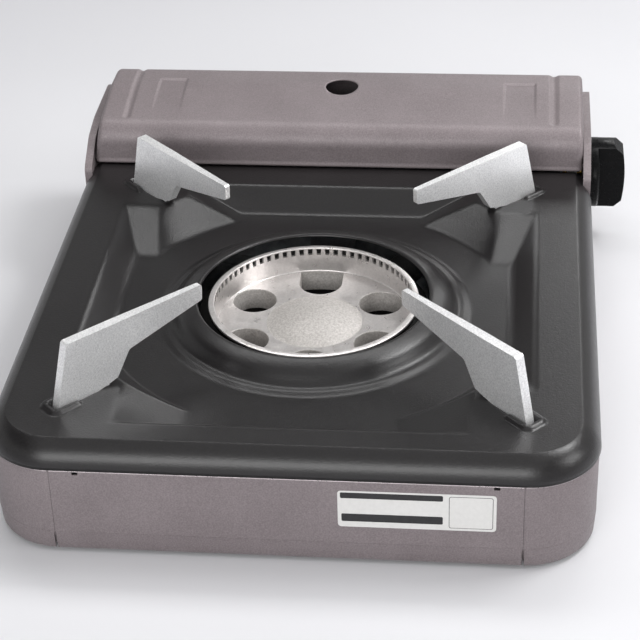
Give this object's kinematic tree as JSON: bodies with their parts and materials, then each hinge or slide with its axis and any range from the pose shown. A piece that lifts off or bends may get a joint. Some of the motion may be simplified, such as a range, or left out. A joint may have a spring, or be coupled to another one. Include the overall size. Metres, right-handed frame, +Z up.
{
  "type": "butane cassette stove",
  "caption": "Tabletop butane cassette stove: low pressed-steel housing, lift-off dished top plate with pan supports, inner-flame burner, hinged cartridge cover and rotary ignition knob.",
  "frame": {"origin": "middle of the whole footprint on the table, under the feet", "axes": "+X towards the cartridge side, -Y towards the front with the knob, +Z up"},
  "size_m": [0.34, 0.2946, 0.0895],
  "materials": {
    "body_paint": "metallic grey-brown paint, fine grain, semi-gloss",
    "plate_coating": "matt charcoal non-stick coating with fine texture",
    "support_paint": "silver speckled heat-proof paint",
    "zinc_sheet": "galvanised sheet",
    "aluminium_sheet": "mill finish",
    "cast_alloy": "satin, fine grain",
    "dark_casting": "dark heat-proof coat",
    "brass": "turned",
    "black_rubber": "matt",
    "spring_wire": "drawn wire",
    "magnet": "sintered, dull",
    "bright_steel": "bright zinc plated",
    "cam_plastic": "natural",
    "red_plastic": "moulded",
    "knob_plastic": "black, slightly glossy",
    "dial_sheet": "satin silver",
    "lead_cover": "silicone",
    "white_ceramic": "glazed"
  },
  "bodies": {
    "stove": {"base_pan": "zinc_sheet", "end_panel": "body_paint", "front_panel": "body_paint", "rear_panel": "body_paint", "outer_panel": "body_paint", "partition": "zinc_sheet", "cartridge_cradle": "zinc_sheet", "heat_panel": "aluminium_sheet", "burner_stand": "zinc_sheet", "burner_base": "dark_casting", "mixing_tube": "cast_alloy", "burner_bowl": "cast_alloy", "flame_ring": "cast_alloy", "nozzle": "brass", "valve_body": "cast_alloy", "regulator_cap": "brass", "diaphragm": "black_rubber", "regulator_spring": "spring_wire", "coupling_magnets": "magnet", "coupling_seal": "black_rubber", "guide_pin": "bright_steel", "control_bracket": "zinc_sheet", "bracket_screws": "bright_steel", "dial_plate": "dial_sheet", "igniter_body": "cam_plastic", "igniter_clip": "zinc_sheet", "ignition_lead": "lead_cover", "electrode_insulator": "white_ceramic", "electrode_tip": "spring_wire", "electrode_clip": "zinc_sheet", "hinge_pins": "bright_steel", "feet": "black_rubber", "body_screws": "bright_steel"},
    "plate": {"top_plate": "plate_coating", "support_front_left": "support_paint", "support_front_right": "support_paint", "support_rear_left": "support_paint", "support_rear_right": "support_paint"},
    "cover": {"cartridge_cover": "body_paint"},
    "control": {"spindle": "brass", "ignition_cam": "cam_plastic", "knob": "knob_plastic"},
    "plunger": {"igniter_plunger": "red_plastic"}
  },
  "joints": [
    {"name": "cover_hinge", "type": "hinge", "parent": "stove", "child": "cover", "pos_m": [0.164, 0.00985, 0.0536], "axis": [0, 1, 0], "range_deg": [0, 95]},
    {"name": "knob_turn", "type": "hinge", "parent": "stove", "child": "control", "pos_m": [0.132, -0.13, 0.039], "axis": [0, -1, 0], "range_deg": [0, 110]},
    {"name": "igniter_slide", "type": "slide", "parent": "stove", "child": "plunger", "axis": [-1, 0, 0], "range_m": [0, 0.005]},
    {"name": "plate_lift", "type": "slide", "parent": "stove", "child": "plate", "axis": [0, 0, 1], "range_m": [0, 0.05]}
  ],
  "couplings": [
    {"joint": "igniter_slide", "follows": "knob_turn", "m_per_rad": 0.0026043}
  ]
}
